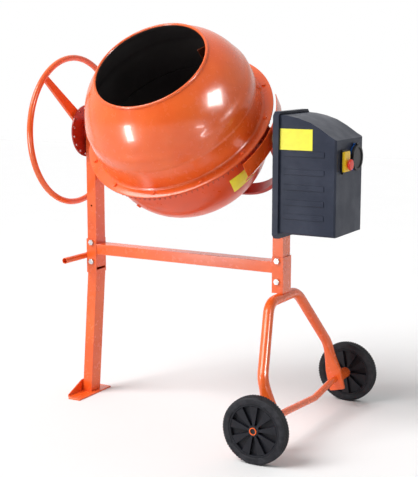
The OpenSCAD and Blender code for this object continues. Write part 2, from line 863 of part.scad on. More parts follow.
// ---------- drive ----------
module pinion() {
    root = pinion_pr - ded;
    tip = pinion_pr + add;
    step = 360 / pinion_teeth;
    color(steel) in_drum() translate([pinion_in, 0, 0]) rotate([90, 0, 90]) difference() {
        union() {
            cylinder(r = root, h = pinion_len, $fn = mid);
            for (k = [0:pinion_teeth - 1]) rotate([0, 0, (k + 0.5) * step + 90]) linear_extrude(pinion_len)
                polygon([[root - 3, -tooth_w * 0.62], [pinion_pr, -tooth_w * 0.45], [tip, -tooth_w * 0.24],
                    [tip, tooth_w * 0.24], [pinion_pr, tooth_w * 0.45], [root - 3, tooth_w * 0.62]]);
        }
        translate([0, 0, -eps]) cylinder(d = shaft_d + 2 * seat, h = pinion_len + 2 * eps, $fn = mid);
    }
}

module pinion_shaft() {
    color(steel) translate([0, 0, za]) {
        xbar(shaft_d, drum_x + pinion_in - 3, pulley_x + pulley_w);
        xbar(12, pulley_x + pulley_w - 0.5, pulley_x + pulley_w + 12);
    }
}

module guard_band(r0, r1, h0, h1, t) {
    a = guard_a;
    rotate([0, 0, -a]) rotate_extrude(angle = 2 * a, $fn = fine)
        polygon([[r0, h0], [r0 + t, h0], [r1 + t, h1], [r1, h1]]);
}

module pinion_guard() {
    color(orange) in_drum() difference() {
        union() {
            guard_band(guard_r, guard_r, guard_low, flange_h - 8, guard_t);
            guard_band(guard_r - 30, guard_r, guard_skirt, guard_low, guard_t);
            for (s = [-1, 1]) translate([arm_in + arm_t, s * 16, -60]) xbar(14, 0, 3);
            for (s = [-1, 1]) translate([arm_in + arm_t, s * 16 - 6, -62]) cube([3, 12, 48]);
        }
        xbar(journal_d + 2, arm_in, guard_r + 10);
        translate([pinion_in - 5, -arm_w - 0.5, guard_skirt - 10])
            cube([arm_in + arm_t - pinion_in + 5, 2 * arm_w + 1, 90]);
    }
}

module loop_shape(rb, rs) {
    b = asin((rb - rs) / motor_drop);
    n = 24;
    wrap_big = 180 + 2 * b;
    wrap_small = 180 - 2 * b;
    polygon(concat(
        [for (i = [0:n]) [rb * cos(-b + i * wrap_big / n), rb * sin(-b + i * wrap_big / n)]],
        [for (i = [0:n]) [rs * cos(180 + b + i * wrap_small / n),
            -motor_drop + rs * sin(180 + b + i * wrap_small / n)]]));
}

module drive_pulley() {
    r = drive_pulley_radius;
    color(dark) translate([0, 0, za]) difference() {
        union() {
            xbar(2 * r, pulley_x, pulley_x + pulley_w, fine);
            xbar(2 * r + 9, pulley_x, pulley_x + 2, fine);
            xbar(2 * r + 9, pulley_x + pulley_w - 2, pulley_x + pulley_w, fine);
        }
        xbar(shaft_d + 2 * seat, pulley_x - eps, pulley_x + pulley_w + eps);
        translate([pulley_x + pulley_w - 7, 0, 0]) difference() {
            xbar(2 * r - 14, 0, 8);
            xbar(shaft_d + 18, -eps, 9);
        }
    }
}

module pulley_nut() {
    x0 = pulley_x + pulley_w;
    color(zinc) translate([x0, 0, za]) rotate([0, 90, 0]) nut(19, 8, 12 + 2 * seat);
}

module drive_belt() {
    rb = drive_pulley_radius + belt_gap;
    rs = motor_pulley_r + belt_gap;
    color(dark) translate([pulley_x + 3, 0, za]) rotate([90, 0, 90]) linear_extrude(pulley_w - 6) difference() {
        loop_shape(rb + belt_t, rs + belt_t);
        loop_shape(rb, rs);
    }
}

module motor_pulley() {
    r = motor_pulley_r;
    color(steel) translate([0, 0, motor_z]) difference() {
        union() {
            xbar(2 * r, pulley_x, pulley_x + pulley_w + 6);
            xbar(2 * r + 9, pulley_x, pulley_x + 2);
            xbar(2 * r + 9, pulley_x + pulley_w - 2, pulley_x + pulley_w);
        }
        xbar(motor_shaft + 2 * seat, pulley_x - eps, pulley_x + pulley_w + 7);
    }
}

module motor_rotor() {
    x1 = motor_x0 + motor_len;
    color(steel) translate([0, 0, motor_z]) {
        xbar(motor_shaft, pulley_x, x1 - 12);
        xbar(58, motor_x0 + 26, x1 - 26);
    }
}

module motor_casing() {
    x0 = motor_x0;
    x1 = motor_x0 + motor_len;
    color(slate) translate([0, 0, motor_z]) difference() {
        union() {
            xbar(2 * motor_r, x0, x1, fine);
            for (k = [0:fins - 1]) rotate([(k + 0.5) * 360 / fins, 0, 0])
                translate([x0 + fin_in, -fin_t / 2, 0]) cube([motor_len - 2 * fin_in, fin_t, motor_r + 5]);
            for (s = [-1, 1]) translate([x0 + fin_in, s * 38 - 10, -motor_r - 3])
                cube([motor_len - 2 * fin_in, 20, 24]);
        }
        xbar(66, x0 + 10, x1 - 10);
        xbar(motor_shaft + 2 * run, x0 - eps, x1 - 11);
    }
}

module motor_cradle() {
    z1 = motor_z - motor_r - 3;
    x0 = cover_x;
    color(steel) difference() {
        union() {
            translate([x0, -50, z1 - cradle_t]) cube([motor_x0 + motor_len - x0 - 10, 100, cradle_t]);
            translate([x0, -50, z1 - 35]) cube([cradle_t, 100, 32]);
        }
        translate([0, 0, housing_bolt_z[0]]) xbar(fb_d + 2 * seat, x0 - eps, x0 + cradle_t + eps);
    }
}

// ---------- housing ----------
module cover_side(o) {
    // X / Z outline of the cover, pulled in by o
    e = cover_end - o;
    x0 = cover_x - (o > 0 ? eps : 0);
    w = cover_end - cover_x;
    polygon([[x0, housing_bottom + o], [e, housing_bottom + o], [e, end_high - o],
        [cover_x + w * 0.894, za + 19 - o], [cover_x + w * 0.73, za + 40 - o],
        [cover_x + w * 0.566, za + 57 - o],
        [cover_x + w * 0.39, za + 68 - o], [cover_x + w * 0.21, za + 75 - o], [x0, top_front - o]]);
}

module cover_form(o) {
    c = 5;
    h = housing_half - o;
    b = housing_back - o;
    top = top_front - o;
    intersection() {
        translate([0, b, 0]) rotate([90, 0, 0]) linear_extrude(h + b) cover_side(o);
        translate([cover_x - 2, 0, 0]) rotate([90, 0, 90]) linear_extrude(cover_end - cover_x + 4)
            polygon([[-h, housing_bottom + o + c], [-h + c, housing_bottom + o], [b - c, housing_bottom + o],
                [b, housing_bottom + o + c], [b, top - c], [b - c, top], [-h + c, top], [-h, top - c]]);
        linear_extrude(2000) polygon([[cover_x - 2, -h], [cover_end - o - c, -h], [cover_end - o, -h + c],
            [cover_end - o, b - c], [cover_end - o - c, b], [cover_x - 2, b]]);
    }
}

module housing_base() {
    c = 12;
    color(slate) difference() {
        translate([rim_x, 0, 0]) rotate([90, 0, 90]) linear_extrude(rim_t)
            polygon([[-rim_half, rim_low + c], [-rim_half + c, rim_low], [rim_back - c, rim_low],
                [rim_back, rim_low + c], [rim_back, rim_high - c], [rim_back - c, rim_high],
                [-rim_half + c, rim_high], [-rim_half, rim_high - c]]);
        translate([cover_x, -housing_half - gap, housing_bottom - gap])
            cube([rim_t, housing_half + housing_back + 2 * gap, top_front - housing_bottom + 2 * gap]);
        translate([0, 0, za]) xbar(journal_d + 4, rim_x - eps, rim_x + floor_t + eps);
        for (z = housing_bolt_z) translate([0, 0, z]) xbar(fb_d + 2 * seat, rim_x - eps, cover_x + eps);
        for (p = cover_screw_at) translate([0, p[0], p[1]]) xbar(4.5, rim_x - eps, cover_x + eps);
    }
}

module housing_bolts() {
    x0 = right_x - hw;
    color(zinc) for (i = [0, 1]) translate([0, 0, housing_bolt_z[i]]) {
        under = cover_x + (i == 0 ? cradle_t : 0);
        xbar(fb_d, x0 - 9, under + 0.5);
        xbar(fb_head, under, under + 5.5, hex);
        xbar(fb_head, x0 - 6.5, x0, hex);
    }
}

module housing_cover() {
    color(slate) difference() {
        union() {
            difference() {
                cover_form(0);
                cover_form(cover_wall);
            }
            for (p = cover_screw_at) intersection() {
                translate([cover_x, p[0] - boss_w / 2, p[1] - boss_w / 2]) cube([boss_l, boss_w, boss_w]);
                cover_form(0);
            }
            for (p = cover_screw_at) translate([cover_x, p[0] > 0 ? p[0] - 2 : p[0] - 10, p[1] - 2])
                cube([boss_l, 12, 4]);
            for (z = rib_z) for (y = [-housing_half - 2, housing_back - 0.5])
                translate([cover_x + 30, y, z]) cube([(cover_end - cover_x) * 0.66, 2.5, 15]);
        }
        for (p = cover_screw_at) translate([0, p[0], p[1]]) xbar(4.1, cover_x - eps, cover_x + 18);
        translate([0, switch_y, switch_z]) xbar(30, cover_end - 10, cover_end + eps);
        translate([0, switch_y, start_z]) xbar(start_d + 4, cover_end - 10, cover_end + eps);
        translate([0, inlet_y, inlet_z]) xbar(2 * inlet_r - 10, cover_end - 10, cover_end + eps);
    }
}

module cover_screws() {
    color(dark) for (p = cover_screw_at) translate([0, p[0], p[1]]) {
        xbar(4, rim_x - 0.5, cover_x + 16);
        xbar(9, rim_x - 3.5, rim_x);
    }
}

module rating_plate() {
    color(yellow) translate([plate_x, -housing_half - 1, za - 25]) cube([plate_l, 1, plate_h]);
}

module switch_base() {
    color(dark) translate([cover_end, switch_y - switch_w / 2, switch_z - switch_hh / 2]) difference() {
        union() {
            cube([switch_t, switch_w, switch_hh]);
            translate([0, 8, -8]) cube([switch_t, 24, 8.5]);
            translate([-12, switch_w / 2 - 12, switch_hh / 2 - 8]) cube([12.5, 24, 16]);
        }
        translate([0, switch_w / 2, 44]) xbar(start_d + 2 * run, -6, switch_t + eps);
    }
}

module switch_flap() {
    x0 = cover_end + switch_t + gap;
    color(yellow) translate([x0, switch_y - switch_w / 2, switch_z - switch_hh / 2]) difference() {
        union() {
            cube([flap_t, switch_w, switch_hh - flap_t]);
            translate([flap_t / 2, 0, switch_hh - flap_t]) ybar(flap_t, 0, switch_w);
        }
        translate([0, 26, 20]) xbar(16 + 2 * run, -eps, flap_t + eps);
        translate([-eps, 11, 35]) cube([3.5, 18, 18]);
    }
}

module stop_button() {
    x0 = cover_end + switch_t + flap_t + gap;
    color(red) translate([x0, switch_y + 6, switch_z - switch_hh / 2 + 20]) {
        xbar(2 * stop_r, 4.5, x_max - x0);
        xbar(16, -flap_t + 4.2, 5);
    }
}

module start_button() {
    color(green) translate([cover_end, switch_y, start_z]) xbar(start_d, -0.5, switch_t + 2);
}

module inlet_body() {
    color(blue) translate([cover_end, inlet_y, inlet_z]) difference() {
        union() {
            xbar(2 * inlet_r, 0, 5);
            xbar(2 * inlet_r - 10.2, -22, 0.5);
            translate([0, -8, inlet_r - 4]) cube([5, 16, 9]);
        }
        xbar(2 * inlet_r - 18, -18, 6);
    }
}

module inlet_lid() {
    color(dark) translate([cover_end + 5 + gap, inlet_y, inlet_z]) difference() {
        union() {
            xbar(2 * inlet_r + 1, 0, 9, fine);
            translate([knuckle_x, 0, inlet_r + knuckle_up]) ybar(knuckle_d, -8, 8);
            translate([knuckle_x - 2, -8, inlet_r - 2]) cube([4, 16, 5]);
        }
        xbar(2 * inlet_r - 14, 6.5, 10);
    }
}

left_leg();
left_foot();
left_upper_post();
left_sleeve();
right_upper_post();
right_sleeve();
cross_beam();
frame_bolts();
frame_nuts();
transport_handle();
wheel_frame();
axle();
near_wheel_rim();
near_wheel_tyre();
far_wheel_rim();
far_wheel_tyre();
axle_washers();
axle_pins();
left_bearing();
right_bearing();
locking_disc();
disc_screws();
handwheel();
handwheel_nut();
handwheel_spring();
yoke_arm();
left_journal();
right_journal();
drum_bearings();
drum_spindle();
spindle_nut();
spindle_bolts();
lower_bowl();
upper_drum();
ring_gear();
flange_bolts();
mixing_blade_a();
mixing_blade_b();
blade_bolts();
pinion();
pinion_shaft();
pinion_guard();
drive_pulley();
pulley_nut();
drive_belt();
motor_pulley();
motor_rotor();
motor_casing();
motor_cradle();
housing_base();
housing_bolts();
housing_cover();
cover_screws();
rating_plate();
switch_base();
switch_flap();
stop_button();
start_button();
inlet_body();
inlet_lid();
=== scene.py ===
import json
from math import atan2, cos, pi, radians, sin, tan

import bmesh
import bpy
from mathutils import Matrix, Vector


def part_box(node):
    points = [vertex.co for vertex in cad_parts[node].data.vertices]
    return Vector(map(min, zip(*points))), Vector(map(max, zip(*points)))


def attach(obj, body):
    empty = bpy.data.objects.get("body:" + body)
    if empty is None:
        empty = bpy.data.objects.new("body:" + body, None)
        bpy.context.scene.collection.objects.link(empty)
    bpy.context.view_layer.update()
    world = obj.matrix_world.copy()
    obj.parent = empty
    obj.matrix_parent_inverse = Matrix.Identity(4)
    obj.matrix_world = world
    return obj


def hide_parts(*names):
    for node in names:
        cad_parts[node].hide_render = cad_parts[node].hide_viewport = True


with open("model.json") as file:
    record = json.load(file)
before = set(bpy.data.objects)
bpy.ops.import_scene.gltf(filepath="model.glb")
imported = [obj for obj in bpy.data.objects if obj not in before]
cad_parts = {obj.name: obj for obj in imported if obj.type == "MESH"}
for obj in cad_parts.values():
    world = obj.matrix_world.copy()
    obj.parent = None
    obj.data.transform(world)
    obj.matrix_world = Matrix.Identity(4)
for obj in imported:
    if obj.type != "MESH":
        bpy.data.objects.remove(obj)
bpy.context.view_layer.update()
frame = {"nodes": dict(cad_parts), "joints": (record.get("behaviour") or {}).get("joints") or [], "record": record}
MM = 0.001
record = frame["record"]
slot_of = {p["node"]: p["material_slot"] for p in record["subparts"]}
joint = {j["name"]: j for j in frame["joints"]}


# ---------- finishes ----------
class Wire:
    """A socket of a finish's tree; the operators add its Math nodes."""

    def __init__(self, finish, socket):
        self.finish, self.socket = finish, socket

    def _do(self, operation, a, b=0.0):
        return self.finish.node("ShaderNodeMath", {"operation": operation}, {0: a, 1: b})

    def __add__(self, other):
        return self._do("ADD", self, other)

    def __sub__(self, other):
        return self._do("SUBTRACT", self, other)

    def __rsub__(self, other):
        return self._do("SUBTRACT", other, self)

    def __mul__(self, other):
        return self._do("MULTIPLY", self, other)

    __radd__ = __add__
    __rmul__ = __mul__


class Finish:
    """One material of the machine: its tree, and the shader that every surface of it uses."""

    def __init__(self, name, **constants):
        self.material = bpy.data.materials.new(name)
        self.material.use_nodes = True
        self.tree = self.material.node_tree
        self.tree.nodes.clear()
        self.shader = self.tree.nodes.new("ShaderNodeBsdfPrincipled")
        out = self.tree.nodes.new("ShaderNodeOutputMaterial")
        self.tree.links.new(self.shader.outputs[0], out.inputs[0])
        for socket, value in constants.items():
            self.shader.inputs[socket.replace("_", " ")].default_value = value
        self.where = self.node("ShaderNodeTexCoord", {}, {}, "Object")

    def node(self, kind, settings, sockets, out=0):
        made = self.tree.nodes.new(kind)
        for name, value in settings.items():
            setattr(made, name, value)
        for name, value in sockets.items():
            if isinstance(value, Wire):
                self.tree.links.new(value.socket, made.inputs[name])
            else:
                made.inputs[name].default_value = value
        return Wire(self, made.outputs[out])

    def noise(self, scale, detail=3.0, rough=0.5, at=None):
        return self.node("ShaderNodeTexNoise", {}, {"Vector": at or self.where, "Scale": scale,
                         "Detail": detail, "Roughness": rough}, "Fac")

    def cells(self, scale, at=None):
        return self.node("ShaderNodeTexVoronoi", {}, {"Vector": at or self.where, "Scale": scale}, "Distance")

    def range(self, wire, low, high, to_low=0.0, to_high=1.0):
        return self.node("ShaderNodeMapRange", {}, {"Value": wire, "From Min": low, "From Max": high,
                         "To Min": to_low, "To Max": to_high})

    def blend(self, mask, a, b):
        made = self.tree.nodes.new("ShaderNodeMix")
        made.data_type = "RGBA"
        sockets = [s for s in made.inputs if s.type == "RGBA"]
        factor = [s for s in made.inputs if s.type == "VALUE"][0]
        self.tree.links.new(mask.socket, factor)
        for socket, value in zip(sockets, (a, b)):
            if isinstance(value, Wire):
                self.tree.links.new(value.socket, socket)
            else:
                socket.default_value = (*value, 1)
        return Wire(self, [s for s in made.outputs if s.type == "RGBA"][0])

    def bump(self, height, distance, strength=1.0, over=None):
        sockets = {"Height": height, "Distance": distance, "Strength": strength}
        if over:
            sockets["Normal"] = over
        return self.node("ShaderNodeBump", {}, sockets)

    def wear(self, **sockets):
        for name, wire in sockets.items():
            self.tree.links.new(wire.socket, self.shader.inputs[name.replace("_", " ")])
        return self.material


def stretched(finish, x, y, z):
    return finish.node("ShaderNodeMapping", {}, {"Vector": finish.where, "Scale": (x, y, z)})


def powder_coat(name, colour, deep, gloss=0.2, coat=0.55):
    """Sprayed gloss paint on steel: fine orange peel, slight colour drift, a few dull specks of dust."""
    f = Finish(name, Coat_Weight=coat, Coat_Roughness=0.06, Coat_IOR=1.5, Metallic=0.0, IOR=1.5)
    drift = f.range(f.noise(9.0, 2.0), 0.35, 0.65)
    dust = f.range(f.noise(420.0, 2.0), 0.66, 0.74)
    shade = f.blend(drift, deep, colour)
    peel = f.noise(260.0, 2.0)
    return f.wear(Base_Color=f.blend(dust * 0.08, shade, tuple(min(1, c * 0.75 + 0.09) for c in colour)),
                  Roughness=f.range(f.noise(60.0), 0.3, 0.7, gloss - 0.03, gloss + 0.05) + dust * 0.2,
                  Normal=f.bump(peel, 0.00006, 0.6))


def drum_inside_coat():
    """Matt dark primer inside the drum, with soft cloudy scuffs."""
    f = Finish("drum_inside", Metallic=0.0, IOR=1.45)
    cloud = f.range(f.noise(7.0, 4.0), 0.35, 0.7)
    grit = f.noise(900.0, 2.0)
    return f.wear(Base_Color=f.blend(cloud, (0.075, 0.067, 0.068), (0.115, 0.104, 0.104)),
                  Roughness=f.range(cloud, 0, 1, 0.5, 0.66), Normal=f.bump(grit, 0.0001, 0.5))


def plated(name, colour, tarnish, rough):
    """Plated or turned steel: fine streaks, small cloudy patches."""
    f = Finish(name, Metallic=1.0)
    streak = f.noise(140.0, 3.0, 0.6, stretched(f, 14, 1, 1))
    patch = f.range(f.noise(85.0, 3.0), 0.4, 0.66)
    return f.wear(Base_Color=f.blend(patch, colour, tarnish),
                  Roughness=f.range(streak, 0.3, 0.7, rough - 0.06, rough + 0.1),
                  Normal=f.bump(streak, 0.00004, 0.5))


def moulded(name, colour, lift, rough, grain=1400.0, depth=0.00007, shine=0.3):
    """Moulded plastic with an eroded grain and faint rubbed patches."""
    f = Finish(name, Metallic=0.0, IOR=1.47, Specular_IOR_Level=shine)
    grit = f.cells(grain)
    rub = f.range(f.noise(14.0, 4.0), 0.42, 0.7)
    return f.wear(Base_Color=f.blend(rub, colour, lift),
                  Roughness=f.range(rub, 0, 1, rough + 0.03, rough - 0.07),
                  Normal=f.bump(grit, depth, 0.6))


def tyre_rubber():
    """Matt rubber with patches of dust."""
    f = Finish("wheel_rubber", Metallic=0.0, IOR=1.5, Specular_IOR_Level=0.3)
    grain = f.noise(700.0, 3.0)
    dust = f.range(f.noise(55.0, 5.0, 0.65), 0.46, 0.62)
    return f.wear(Base_Color=f.blend(dust * 0.8, (0.0065, 0.0068, 0.011), (0.035, 0.035, 0.042)),
                  Roughness=f.range(dust, 0, 1, 0.55, 0.85), Normal=f.bump(grain, 0.00015, 0.7))


def printed_film(name, colour, shade):
    """Plain printed film: a faint sheen of small blisters and paler edges of ink."""
    f = Finish(name, Metallic=0.0, IOR=1.46)
    ink = f.range(f.noise(60.0, 2.0), 0.4, 0.7)
    return f.wear(Base_Color=f.blend(ink, colour, shade), Roughness=f.range(ink, 0, 1, 0.32, 0.44),
                  Normal=f.bump(f.noise(180.0, 2.0), 0.00005, 0.4))


def cast_alloy():
    f = Finish("motor_alloy", Metallic=0.85)
    pits = f.cells(520.0)
    tone = f.range(f.noise(40.0), 0.35, 0.65)
    return f.wear(Base_Color=f.blend(tone, (0.34, 0.35, 0.37), (0.42, 0.43, 0.45)),
                  Roughness=f.range(tone, 0, 1, 0.5, 0.62), Normal=f.bump(pits, 0.0002, 0.6))


def porous_bronze():
    f = Finish("sintered_bronze", Metallic=1.0)
    pores = f.cells(1500.0)
    return f.wear(Base_Color=f.blend(f.range(pores, 0.2, 0.6), (0.34, 0.21, 0.09), (0.54, 0.37, 0.16)),
                  Roughness=f.range(pores, 0, 0.6, 0.55, 0.4), Normal=f.bump(pores, 0.0001, 0.7))


def ribbed_belt():
    f = Finish("belt_rubber", Metallic=0.0)
    weave = f.node("ShaderNodeTexWave", {"bands_direction": "X"}, {"Vector": f.where, "Scale": 260.0,
                   "Distortion": 0.4}, "Fac")
    return f.wear(Base_Color=f.blend(weave, (0.009, 0.009, 0.009), (0.022, 0.022, 0.022)),
                  Roughness=f.range(weave, 0, 1, 0.7, 0.82), Normal=f.bump(weave, 0.0004, 0.8))


finish = {
    "orange_paint": powder_coat("orange_paint", (0.96, 0.150, 0.022), (0.91, 0.120, 0.015), 0.24, 0.3),
    "gear_casting": powder_coat("gear_casting", (0.60, 0.070, 0.016), (0.42, 0.045, 0.012), 0.5, 0.0),
    "blade_paint": powder_coat("blade_paint", (0.30, 0.055, 0.018), (0.2, 0.035, 0.012), 0.42, 0.1),
    "zinc_hardware": plated("zinc_hardware", (0.62, 0.63, 0.65), (0.44, 0.44, 0.43), 0.3),
    "bare_steel": plated("bare_steel", (0.40, 0.40, 0.41), (0.26, 0.24, 0.23), 0.4),
    "sintered_bronze": porous_bronze(),
    "slate_housing": moulded("slate_housing", (0.027, 0.033, 0.054), (0.042, 0.049, 0.074), 0.34, shine=0.12),
    "black_plastic": moulded("black_plastic", (0.008, 0.008, 0.010), (0.016, 0.016, 0.019), 0.4),
    "wheel_plastic": moulded("wheel_plastic", (0.0062, 0.0066, 0.011), (0.011, 0.0115, 0.018), 0.5),
    "wheel_rubber": tyre_rubber(),
    "belt_rubber": ribbed_belt(),
    "motor_alloy": cast_alloy(),
    "plate_yellow": printed_film("plate_yellow", (0.94, 0.86, 0.045), (0.90, 0.80, 0.04)),
    "switch_yellow": moulded("switch_yellow", (0.95, 0.60, 0.015), (0.97, 0.66, 0.03), 0.3, 900.0, 0.00002),
    "button_red": moulded("button_red", (0.82, 0.04, 0.02), (0.86, 0.07, 0.04), 0.28, 900.0, 0.00002),
    "button_green": moulded("button_green", (0.02, 0.26, 0.07), (0.03, 0.31, 0.09), 0.3, 900.0, 0.00002),
    "inlet_blue": moulded("inlet_blue", (0.01, 0.13, 0.55), (0.015, 0.17, 0.62), 0.3, 900.0, 0.00002),
}
drum_inside = drum_inside_coat()
# painted light: the label's yellow is a brighter copy of the plate yellow, lifted against the shade and orange
# bounce where it lies on the bowl
label_film = printed_film("label_film", (1.0, 0.97, 0.05), (0.97, 0.92, 0.045))
# painted shade: darker coats of the orange paint for the bowl, the tilt band and its disc, standing in for the
# machine's own shade that falls on them
bowl_paint = powder_coat("bowl_paint", (0.80, 0.085, 0.014), (0.70, 0.070, 0.011), 0.3, 0.1)
# painted shade: a dark red copy of the orange paint for the tilt band and its disc
band_paint = powder_coat("band_paint", (0.46, 0.020, 0.005), (0.36, 0.014, 0.004), 0.34, 0.1)


# ---------- making pieces ----------
def new_object(name, mesh):
    made = bpy.data.objects.new(name, mesh)
    bpy.context.scene.collection.objects.link(made)
    return made


def solid(name, points, faces, tags=None, tidy=True):
    """A mesh from points in millimetres; tags give each face its material."""
    mesh = bpy.data.meshes.new(name)
    mesh.from_pydata([Vector(p) * MM for p in points], [], faces)
    if tags:
        mesh.polygons.foreach_set("material_index", tags)
    if tidy:
        form = bmesh.new()
        form.from_mesh(mesh)
        bmesh.ops.remove_doubles(form, verts=form.verts, dist=1e-7)
        bmesh.ops.recalc_face_normals(form, faces=form.faces)
        form.to_mesh(mesh)
        form.free()
    return mesh


def lathe(name, outline, turns=192, inside=()):
    """A closed outline of (radius, height) turned about Z; segments named in inside get the second material."""
    points, faces, tags = [], [], []
    n = len(outline)
    for i in range(turns):
        a = 2 * pi * i / turns
        points += [(r * cos(a), r * sin(a), h) for r, h in outline]
    for i in range(turns):
        k = (i + 1) % turns
        for j in range(n):
            m = (j + 1) % n
            if outline[j][0] < 1e-6 and outline[m][0] < 1e-6:
                continue
            quad = [i * n + j, k * n + j, k * n + m, i * n + m]
            if outline[j][0] < 1e-6:
                quad = [quad[0], quad[2], quad[3]]
            elif outline[m][0] < 1e-6:
                quad = quad[:3]
            faces.append(quad)
            tags.append(1 if j in inside else 0)
    return solid(name, points, faces, tags)


def smooth_line(points, steps=5):
    """The same line through every point, rounded between them."""
    out = []
    for i in range(len(points) - 1):
        p0 = points[max(i - 1, 0)]
        p1, p2 = points[i], points[i + 1]
        p3 = points[min(i + 2, len(points) - 1)]
        for s in range(steps):
            t = s / steps
            out.append(tuple(0.5 * (2 * b + (c - a) * t + (2 * a - 5 * b + 4 * c - d) * t * t
                             + (3 * b - a - 3 * c + d) * t ** 3) for a, b, c, d in zip(p0, p1, p2, p3)))
    return out + [tuple(points[-1])]


def arc(cx, cy, r, a0, a1, n=8):
    return [(cx + r * cos(radians(a0 + (a1 - a0) * i / n)), cy + r * sin(radians(a0 + (a1 - a0) * i / n)))
            for i in range(n + 1)]


def shaded(mesh, angle=38.0):
    mesh.polygons.foreach_set("use_smooth", [True] * len(mesh.polygons))
    mesh.set_sharp_from_angle(angle=radians(angle))
    return mesh


def evaluated(made):
    """The object's modifiers worked into a plain mesh, and the modifiers removed."""
    deps = bpy.context.evaluated_depsgraph_get()
    mesh = bpy.data.meshes.new_from_object(made.evaluated_get(deps), preserve_all_data_layers=True, depsgraph=deps)
    name = made.name
    bpy.data.objects.remove(made)
    mesh.name = name
    return mesh


def rounded(mesh, width, segments=2, angle=32.0):
    """The mesh with its edges rounded by width millimetres and its flat faces kept flat to the eye."""
    made = new_object(mesh.name, mesh)
    mesh.polygons.foreach_set("use_smooth", [True] * len(mesh.polygons))
    bevel = made.modifiers.new("edge", "BEVEL")
    bevel.width = width * MM
    bevel.segments = segments
    bevel.limit_method = "ANGLE"
    bevel.angle_limit = radians(angle)
    even = made.modifiers.new("even", "WEIGHTED_NORMAL")
    even.keep_sharp = True
    return evaluated(made)


def cad_copy(name, nodes):
    """The merged, cleaned shapes of CAD nodes, ready for rounding."""
    form = bmesh.new()
    for node in nodes:
        form.from_mesh(frame["nodes"][node].data)
    bmesh.ops.remove_doubles(form, verts=form.verts, dist=2e-6)
    bmesh.ops.dissolve_limit(form, angle_limit=radians(0.6), verts=form.verts, edges=form.edges)
    mesh = bpy.data.meshes.new(name)
    form.to_mesh(mesh)
    form.free()
    return mesh


def piece(name, mesh, body, stands_for=(), slot="orange_paint", materials=None):
    tags = [0] * len(mesh.polygons)
    mesh.polygons.foreach_get("material_index", tags)
    mesh.materials.clear()
    for material in materials or [finish[slot]]:
        mesh.materials.append(material)
    mesh.polygons.foreach_set("material_index", [min(t, len(mesh.materials) - 1) for t in tags])
    made = new_object(name, mesh)
    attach(made, body)
    if stands_for:
        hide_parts(*stands_for)
    return made


def moved(mesh, matrix):
    mesh.transform(matrix)
    return mesh


def joined(name, meshes):
    form = bmesh.new()
    for mesh in meshes:
        form.from_mesh(mesh)
    out = bpy.data.meshes.new(name)
    form.to_mesh(out)
    form.free()
    out.polygons.foreach_set("use_smooth", [True] * len(out.polygons))
    return out


# ---------- geometry trees ----------
class Tree:
    """A geometry tree with named inputs."""

    def __init__(self, name, **inputs):
        self.tree = bpy.data.node_groups.new(name, "GeometryNodeTree")
        self.tree.interface.new_socket("Geometry", in_out="OUTPUT", socket_type="NodeSocketGeometry")
        self.tree.interface.new_socket("Geometry", in_out="INPUT", socket_type="NodeSocketGeometry")
        for label, kind in inputs.items():
            self.tree.interface.new_socket(label.replace("_", " "), in_out="INPUT", socket_type="NodeSocket" + kind)
        self.start = self.tree.nodes.new("NodeGroupInput")
        self.end = self.tree.nodes.new("NodeGroupOutput")

    def input(self, label):
        return self.start.outputs[label]

    def node(self, kind, settings=None, sockets=None, out=0):
        made = self.tree.nodes.new(kind)
        for label, value in (settings or {}).items():
            setattr(made, label, value)
        for label, value in (sockets or {}).items():
            if isinstance(value, bpy.types.NodeSocket):
                self.tree.links.new(value, made.inputs[label])
            else:
                made.inputs[label].default_value = value
        return made.outputs[out]

    def sum(self, operation, a, b=0.0):
        return self.node("ShaderNodeMath", {"operation": operation}, {0: a, 1: b})

    def close(self, geometry):
        real = self.node("GeometryNodeRealizeInstances", {}, {"Geometry": geometry})
        last = self.node("GeometryNodeSetMaterial", {}, {"Geometry": real, "Material": self.input("Finish")})
        self.tree.links.new(last, self.end.inputs[0])
        return self.tree


def ring_tree():
    """Copies of one item round the Z axis, each turned to face outwards."""
    t = Tree("ring_of_items", Item="Object", Count="Int", Radius="Float", Phase="Float", Finish="Material")
    index = t.node("GeometryNodeInputIndex")
    step = t.sum("DIVIDE", 2 * pi, t.input("Count"))
    angle = t.sum("ADD", t.sum("MULTIPLY", index, step), t.input("Phase"))
    x = t.sum("MULTIPLY", t.sum("COSINE", angle), t.input("Radius"))
    y = t.sum("MULTIPLY", t.sum("SINE", angle), t.input("Radius"))
    place = t.node("ShaderNodeCombineXYZ", {}, {"X": x, "Y": y})
    turn = t.node("ShaderNodeCombineXYZ", {}, {"Z": angle})
    points = t.node("GeometryNodePoints", {}, {"Count": t.input("Count"), "Position": place})
    item = t.node("GeometryNodeObjectInfo", {}, {"Object": t.input("Item")}, "Geometry")
    copies = t.node("GeometryNodeInstanceOnPoints", {}, {"Points": points, "Instance": item, "Rotation": turn})
    return t.close(copies)


def bead_tree():
    """A weld bead along a line: round, with even ripples."""
    t = Tree("weld_bead", Width="Float", Ripple="Float", Finish="Material")
    fine = t.node("GeometryNodeResampleCurve", {"mode": "LENGTH"}, {"Curve": t.input("Geometry"), "Length": 0.0012})
    index = t.node("GeometryNodeInputIndex")
    wave = t.sum("SINE", t.sum("MULTIPLY", index, t.input("Ripple")))
    size = t.sum("ADD", t.sum("MULTIPLY", wave, 0.14), 1.0)
    scale = t.sum("MULTIPLY", size, t.input("Width"))
    profile = t.node("GeometryNodeCurvePrimitiveCircle", {}, {"Resolution": 8, "Radius": 1.0}, "Curve")
    sized = t.node("GeometryNodeSetCurveRadius", {}, {"Curve": fine, "Radius": scale})
    sockets = {"Curve": sized, "Profile Curve": profile, "Fill Caps": True}
    tube = t.tree.nodes.new("GeometryNodeCurveToMesh")
    for label, value in sockets.items():
        if isinstance(value, bpy.types.NodeSocket):
            t.tree.links.new(value, tube.inputs[label])
        else:
            tube.inputs[label].default_value = value
    if "Scale" in tube.inputs:
        t.tree.links.new(scale, tube.inputs["Scale"])
    return t.close(tube.outputs[0])


trees = {"ring": ring_tree(), "bead": bead_tree()}


